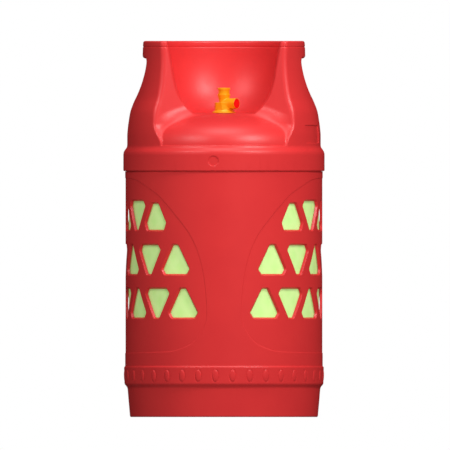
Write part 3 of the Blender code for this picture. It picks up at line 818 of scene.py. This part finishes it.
def poppet_spring(look):
    """The poppet's coil, as one fixed mesh at its resting length."""
    mean_r, wire_r, turns = 3.6, 0.5, 6
    low, high = BOWL_Z - 1.6, VALVE_TOP_Z - 21.3
    skin = Skin()
    rings = []
    section = even_turns(12)
    for share in np.linspace(0, 1, 36 * turns + 1):
        turn = math.tau * turns * share
        spoke = np.array([math.cos(turn), math.sin(turn), 0])
        aims = np.outer(np.cos(section), spoke) + np.outer(np.sin(section), [0, 0, 1])
        centre = mean_r * spoke + [0, 0, low + (high - low) * share]
        rings.append(skin.add(centre + wire_r * aims, aims))
    for near, far in zip(rings, rings[1:]):
        skin.join(near, far)
    skin.faces += [tuple(rings[0]), tuple(rings[-1][::-1])]
    made = skin.finish("poppet_spring_wound", look)
    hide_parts("poppet_spring")
    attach(made, "cylinder")
    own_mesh(made)


def boss_outline():
    """The neck insert: a stem over a flange that has a groove for its seal underneath."""
    flange_r, low, high = BOSS_HIGH[0], BOSS_LOW[2], BOSS_HIGH[2]
    outline = [(21, high), (21, low + 7.6), (flange_r, low + 6), (flange_r, low), (26.5, low)]
    outline += [(26.5, low + 2), (22.5, low + 2), (22.5, low), (12.9, low), (12.9, high - 2.6)]
    return outline + [(15.8, high - 2.6), (15.8, high)]


def grommet_outline():
    """The rubber ring with its shoulder under the bowl's floor."""
    high, under = BOWL_Z - 0.5, BOWL_Z - WALL - GAP
    outline = [(NECK_R, high), (24, high), (24, under), (29, under)]
    return outline + [(29, under - 3), (NECK_R, under - 3)]


def outlet_seal_outline():
    """The ring that seals on the regulator's nose."""
    high, low = VALVE_TOP_Z - 6.4, VALVE_TOP_Z - 10.1
    return [(3.7, high), (6.3, high), (6.3, low), (3.7, low)]


def poppet_outline():
    """The pin, its head and its stem."""
    outline = [(0, 8.6), (1.7, 8.6), (1.7, -2.3), (4.5, -2.3), (4.5, -5.5), (1.7, -5.5)]
    return [(r, POPPET_SEAT_Z + z) for r, z in outline + [(1.7, -20), (0, -20)]]


def turned_pieces(looks):
    """Smooth versions of the round pieces in and under the valve."""
    for name, outline, slot, body in (
        ("boss", boss_outline(), "brass", "cylinder"),
        ("neck_grommet", grommet_outline(), "black_rubber", "cylinder"),
        ("outlet_seal", outlet_seal_outline(), "black_rubber", "cylinder"),
        ("poppet", poppet_outline(), "brass", "outlet_poppet"),
    ):
        piece = lathe(name + "_smooth", outline, looks[slot])
        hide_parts(name)
        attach(piece, body)


def relief_cap(look):
    """The push-in dust cap, slightly dished, with its plug in the branch's bore."""
    outline = [(0, 0.1), (3, 0.13), (5.6, 0.3), (7.1, 0.3), (7.1, -2.4), (5.4, -2.4)]
    outline += [(5.4, -4.6), (4, -4.6), (4, -1.8), (0, -1.8)]
    made = lathe("relief_cap_smooth", [(r, BRANCH_LENGTH + z) for r, z in outline], look)
    turn = Matrix.Rotation(BRANCH_TURN, 4, "Z") @ Matrix.Rotation(math.radians(90), 4, "X")
    made.data.transform(Matrix.Translation((0, 0, BRANCH_Z * MM)) @ turn)
    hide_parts("relief_cap")
    return made


# Valve

VALVE_NECK = Curve([(VALVE_TOP_Z - 25, 7.3), (VALVE_TOP_Z - 21.5, 7.4), (VALVE_TOP_Z - 11.6, 9.6)])
VALVE_FLARE = Curve([(BOWL_Z, 17.8), (BOWL_Z + 1.2, 17.75), (BOWL_Z + 3.2, 15.6), (BOWL_Z + 6, 13.2)])
VALVE_STEM_R = 12.5
OUTLET_R, STEM_BORE_R, POPPET_WAY_R = 6.6, 4.9, 3
# The branch's bores from its end inwards: radius, and how far from the valve's axis each starts
BRANCH_BORES = ((7.4, 21.6), (5.7, 9.5), (2.2, 2.0))
DOT_X, DOT_Z, DOT_R, DOT_DEPTH = 1.1, VALVE_TOP_Z - 26, 1.2, 0.4


def slab(z, low, high):
    """The distance outside two levels."""
    return np.abs(z - (low + high) / 2) - (high - low) / 2


def tube(r, z, radius, low, high, edge):
    """A cylinder about Z with rounded edges."""
    return round_in(r - radius, slab(z, low, high), edge)


def octagon(x, y):
    """The distance outside an octagon that has a face square to the branch."""
    turns = BRANCH_TURN + math.pi / 4 * np.arange(4)
    faces = [np.abs(x * math.sin(t) - y * math.cos(t)) for t in turns]
    return np.maximum.reduce(faces) - OCTAGON_WIDTH / 2


def valve_outside(x, y, z, r):
    """The valve's neck with its lip and ring, the octagon, the flare and the stem below."""
    top = VALVE_TOP_Z
    solid = tube(r, z, 9.6, top - 3.4, top, 0.7)
    solid = round_union(solid, tube(r, z, 8.5, top - 12, top - 2, 0.1), 0.4)
    solid = round_union(solid, tube(r, z, 9.9, top - 11.4, top - 9.4, 0.6), 0.3)
    neck = np.maximum(VALVE_NECK.beyond(r, z), slab(z, top - 30.8, top - 11.2))
    solid = round_union(solid, neck, 0.4)
    crown = (r - 14.6) * 0.5 + (z - top + 22.3) * 0.87
    nut = round_in(octagon(x, y), slab(z, top - 33.3, top - 22.3), 0.5)
    solid = round_union(solid, round_in(nut, crown, 0.5), 1.0)
    flare = np.maximum(VALVE_FLARE.beyond(r, z), slab(z, BOWL_Z + 0.6, BOWL_Z + 6.2))
    solid = round_union(solid, flare, 0.8)
    return np.minimum(solid, tube(r, z, VALVE_STEM_R, VALVE_LOW[2], BOWL_Z + 2, 0.5))


def valve_field(x, y, z):
    """The valve's body with its side branch, less its bores and a punched dot."""
    top = VALVE_TOP_Z
    r = np.hypot(x, y)
    along = x * math.sin(BRANCH_TURN) - y * math.cos(BRANCH_TURN)
    across = x * math.cos(BRANCH_TURN) + y * math.sin(BRANCH_TURN)
    branch_r = np.hypot(across, z - BRANCH_Z)
    branch = round_in(branch_r - BRANCH_R, slab(along, 0, BRANCH_LENGTH), 0.5)
    solid = round_union(valve_outside(x, y, z, r), branch, 1.6)

    bores = np.minimum(tube(r, z, OUTLET_R, top - 10.4, top + 9, 0.2), r - POPPET_WAY_R)
    bores = np.minimum(bores, tube(r, z, STEM_BORE_R, VALVE_LOW[2] - 9, top - 15, 0.2))
    for radius, start in BRANCH_BORES:
        bores = np.minimum(bores, np.maximum(branch_r - radius, start - along))
    dot = np.hypot(x - DOT_X, z - DOT_Z) - DOT_R
    dot = np.maximum(dot, y + OCTAGON_WIDTH / 2 - DOT_DEPTH)
    return round_in(round_in(solid, -bores, 0.3), -dot, 0.3)


def valve_body(look):
    """The brass body, turned and milled from one piece."""
    low, high = VALVE_LOW - 1.5, VALVE_HIGH + 1.5
    voxel, triangles = ((0.3, 120_000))
    made = field_object("valve_body_turned", valve_field, low, high, voxel, triangles, look)
    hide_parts("valve_body")
    return made


# Materials


def node(tree, kind, inputs=(), **settings):
    """A shader node with its settings, its inputs given as values or as other nodes' sockets."""
    made = tree.nodes.new("ShaderNode" + kind)
    for key, value in settings.items():
        setattr(made, key, value)
    for key, value in dict(inputs).items():
        if isinstance(value, bpy.types.NodeSocket):
            tree.links.new(value, made.inputs[key])
        else:
            made.inputs[key].default_value = value
    return made


def finish_look(name, **inputs):
    """A new material: its tree and its Principled shader, with constant inputs set."""
    look = bpy.data.materials.new(name)
    look.use_nodes = True
    shader = look.node_tree.nodes["Principled BSDF"]
    for key, value in inputs.items():
        shader.inputs[key.replace("_", " ")].default_value = value
    return look, look.node_tree, shader


def noise(tree, scale, detail=2.0, roughness=0.5, stretch=None):
    """Noise over the object's own coordinates, which are metres."""
    place = node(tree, "TexCoord").outputs["Object"]
    if stretch:
        place = node(tree, "Mapping", {"Vector": place, "Scale": stretch}).outputs["Vector"]
    inputs = {"Vector": place, "Scale": scale, "Detail": detail, "Roughness": roughness}
    return node(tree, "TexNoise", inputs).outputs["Fac"]


def mapped(tree, value, low, high, to_low, to_high):
    """The value moved from one range to another, and held within it."""
    inputs = {"Value": value, "From Min": low, "From Max": high, "To Min": to_low, "To Max": to_high}
    return node(tree, "MapRange", inputs).outputs["Result"]


def mixed(tree, share, first, second):
    """A colour between two others, by share."""
    # A Mix node's sockets go by number, since its names repeat: factor 0, colours 6 and 7.
    inputs = {0: share, 6: (*first, 1), 7: (*second, 1)}
    return node(tree, "Mix", inputs, data_type="RGBA").outputs[2]


def calculated(tree, operation, *values):
    """The result of a Math node."""
    return node(tree, "Math", dict(enumerate(values)), operation=operation).outputs[0]


def set_bump(tree, shader, height, distance, strength=1.0):
    """A bump of this many metres from a height between 0 and 1."""
    bump = node(tree, "Bump", {"Height": height, "Distance": distance, "Strength": strength})
    tree.links.new(bump.outputs["Normal"], shader.inputs["Normal"])


def moulded_plastic(name, colour, deep, roughness, grain=0.00006):
    """Injection-moulded plastic: fine satin grain, slow mottling and a few duller scuffs."""
    look, tree, shader = finish_look(name, IOR=1.49, Specular_IOR_Level=0.55)
    mottle = mapped(tree, noise(tree, 14, 3), 0.3, 0.7, 0, 1)
    tree.links.new(mixed(tree, mottle, colour, deep), shader.inputs["Base Color"])
    scuffs = mapped(tree, noise(tree, 60, 6, 0.7, (1, 1, 0.35)), 0.6, 0.75, 0, 1)
    rough = mapped(tree, scuffs, 0, 1, roughness, roughness + 0.1)
    tree.links.new(rough, shader.inputs["Roughness"])
    set_bump(tree, shader, noise(tree, 1400, 3, 0.6), grain)
    return look


def wound_resin():
    """Green resin over glass strands wound at 55 degrees both ways, with a faint painted glow."""
    # The resin glows faintly in its own colour: painted light that keeps it bright where the casing
    # shades it.
    look, tree, shader = finish_look(
        "composite_green", IOR=1.54, Specular_IOR_Level=0.3, Emission_Strength=0.16
    )
    place = node(tree, "SeparateXYZ", {"Vector": node(tree, "TexCoord").outputs["Object"]})
    x, y, z = place.outputs
    turn = calculated(tree, "ARCTAN2", x, calculated(tree, "MULTIPLY", y, -1.0))
    strands = []
    for way in (1, -1):
        lean = calculated(tree, "MULTIPLY", z, way * 180.0)
        strands.append(calculated(tree, "SINE", calculated(tree, "MULTIPLY_ADD", turn, 36.0, lean)))
    weave = calculated(tree, "MAXIMUM", *strands)
    cloud = noise(tree, 30, 4, 0.6)
    share = mapped(tree, calculated(tree, "MULTIPLY_ADD", weave, 0.25, cloud), 0.2, 0.9, 0, 1)
    colour = mixed(tree, share, (0.62, 0.96, 0.31), (0.70, 1.0, 0.37))
    tree.links.new(colour, shader.inputs["Base Color"])
    # The same colour is given out as glow, as painted light.
    tree.links.new(colour, shader.inputs["Emission Color"])
    rough = mapped(tree, cloud, 0.3, 0.7, 0.28, 0.4)
    tree.links.new(rough, shader.inputs["Roughness"])
    set_bump(tree, shader, weave, 0.0001, 0.5)
    return look


def turned_metal(name, colour, deep, roughness, metallic=1.0):
    """Machined metal: fine turning lines round Z and slight tarnish."""
    look, tree, shader = finish_look(name, Metallic=metallic)
    tarnish = mapped(tree, noise(tree, 70, 4), 0.35, 0.75, 0, 1)
    tree.links.new(mixed(tree, tarnish, colour, deep), shader.inputs["Base Color"])
    lines = noise(tree, 60, 3, 0.6, (1, 1, 60))
    rough = mapped(tree, lines, 0.3, 0.7, roughness - 0.05, roughness + 0.08)
    tree.links.new(rough, shader.inputs["Roughness"])
    set_bump(tree, shader, lines, 0.00003)
    return look


def pitted(name, colour, deep, roughness, scale, depth):
    """Rubber or foam: an even skin of small pits, each painted darker towards its bottom as painted
    shade.
    """
    look, tree, shader = finish_look(name)
    place = node(tree, "TexCoord").outputs["Object"]
    cells = node(tree, "TexVoronoi", {"Vector": place, "Scale": scale}).outputs["Distance"]
    share = mapped(tree, cells, 0, 0.7, 0, 1)
    # The colour follows the pits' depth: painted shade, darkest at each pit's bottom.
    tree.links.new(mixed(tree, share, deep, colour), shader.inputs["Base Color"])
    rough = mapped(tree, noise(tree, 90, 3), 0.3, 0.7, roughness - 0.06, roughness + 0.06)
    tree.links.new(rough, shader.inputs["Roughness"])
    set_bump(tree, shader, cells, depth)
    return look


def slot_name(look):
    """The slot that a material is named after; Blender numbers the names that repeat."""
    return look.name.split(".")[0]


def make_looks():
    """Every material, by the name of the record's slot that it stands for."""
    looks = (
        moulded_plastic("casing_red", (0.80, 0.034, 0.034), (0.76, 0.03, 0.032), 0.4),
        wound_resin(),
        moulded_plastic("liner_plastic", (0.78, 0.82, 0.72), (0.7, 0.75, 0.64), 0.5),
        turned_metal("brass", (1.0, 0.43, 0.004), (0.92, 0.38, 0.004), 0.36, 0.2),
        turned_metal("spring_steel", (0.62, 0.62, 0.6), (0.5, 0.5, 0.5), 0.32),
        pitted("black_rubber", (0.022, 0.022, 0.024), (0.012, 0.012, 0.012), 0.6, 2600, 0.00004),
        pitted("grey_foam", (0.27, 0.27, 0.29), (0.12, 0.12, 0.13), 0.92, 900, 0.0004),
        moulded_plastic("cap_red", (0.92, 0.006, 0.006), (0.82, 0.004, 0.004), 0.3),
    )
    return {slot_name(look): look for look in looks}


# Scene

AMBIENT = 0.24
LIGHT_DISTANCE = 2.2
VIEW_SIZE = 0.682
EYE = (0.0016, -3.0, 0.291)
# Name, degrees from the front and above the horizon, size (m), power (W), seen in reflections
LIGHTS = (
    ("high_left", -40, 42, 0.5, 10.0, True),
    ("high_right", 38, 42, 0.5, 21.0, True),
    ("low_front", 14, 4, 0.8, 15.0, False),
    ("top", 0, 78, 1.0, 13.0, True),
    ("back", 180, 20, 1.2, 24.0, False),
)


def light_from(name, turn, rise, size, power, glossy):
    """A soft square light at this many degrees from the front and above the horizon."""
    turn, rise = math.radians(turn), math.radians(rise)
    way = Vector((math.sin(turn) * math.cos(rise), -math.cos(turn) * math.cos(rise), math.sin(rise)))
    data = bpy.data.lights.new(name, "AREA")
    data.size = size
    data.energy = power
    light = bpy.data.objects.new(name, data)
    light.location = LIGHT_DISTANCE * way + Vector((0, 0, TOP_Z * MM / 2))
    light.rotation_euler = way.to_track_quat("Z", "Y").to_euler()
    light.visible_glossy = glossy
    bpy.context.scene.collection.objects.link(light)


def surroundings():
    """Dim even light from everywhere, with white behind the object."""
    world = bpy.data.worlds.new("studio")
    bpy.context.scene.world = world
    world.use_nodes = True
    tree = world.node_tree
    tree.nodes.clear()
    dim = node(tree, "Background", {"Color": (1, 1, 1, 1), "Strength": AMBIENT})
    white = node(tree, "Background", {"Color": (1, 1, 1, 1), "Strength": 1.0})
    seen = node(tree, "LightPath").outputs["Is Camera Ray"]
    mix = node(tree, "MixShader", {0: seen, 1: dim.outputs[0], 2: white.outputs[0]})
    node(tree, "OutputWorld", {"Surface": mix.outputs[0]})
    world.cycles_visibility.glossy = False


def pale_floor():
    """A floor that takes shadows but throws no light back on the object."""
    bpy.ops.mesh.primitive_plane_add(size=6, location=(0, 0, -0.0005))
    floor = bpy.context.object
    floor.name = "floor"
    look, tree, shader = finish_look("floor_pale", Roughness=0.9)
    tone = mapped(tree, noise(tree, 3, 2), 0.3, 0.7, 0, 1)
    pale = mixed(tree, tone, (0.88, 0.88, 0.88), (0.9, 0.9, 0.9))
    tree.links.new(pale, shader.inputs["Base Color"])
    floor.data.materials.append(look)
    floor.visible_diffuse = False
    floor.visible_glossy = False


def front_camera():
    """A camera without perspective, square to the front at mid height."""
    camera = bpy.data.cameras.new("camera")
    camera.type = "ORTHO"
    camera.ortho_scale = VIEW_SIZE
    camera.clip_end = 20
    eye = bpy.data.objects.new("camera", camera)
    eye.location = EYE
    eye.rotation_euler = (math.radians(90), 0, 0)
    bpy.context.scene.collection.objects.link(eye)
    bpy.context.scene.camera = eye


def studio():
    """The world, the lights, the floor and the camera."""
    bpy.context.scene.view_settings.view_transform = "Standard"
    surroundings()
    for light in LIGHTS:
        light_from(*light)
    pale_floor()
    front_camera()


def main():
    """Makes the pieces, gives the CAD pieces left their materials, and sets up the studio."""
    looks = make_looks()
    pieces = [
        (upper_casing(looks["casing_red"]), "casing_red", "cylinder"),
        (lower_casing(looks["casing_red"]), "casing_red", "cylinder"),
        (composite_shell(looks["composite_green"]), "composite_green", "cylinder"),
        (valve_body(looks["brass"]), "brass", "cylinder"),
        (relief_cap(looks["cap_red"]), "cap_red", "dust_cap"),
    ]
    for piece, slot, body in pieces:
        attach(piece, body)
    turned_pieces(looks)
    poppet_spring(looks["spring_steel"])
    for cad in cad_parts.values():
        for slot in cad.material_slots:
            slot.material = looks[slot_name(slot.material)]
    studio()


main()
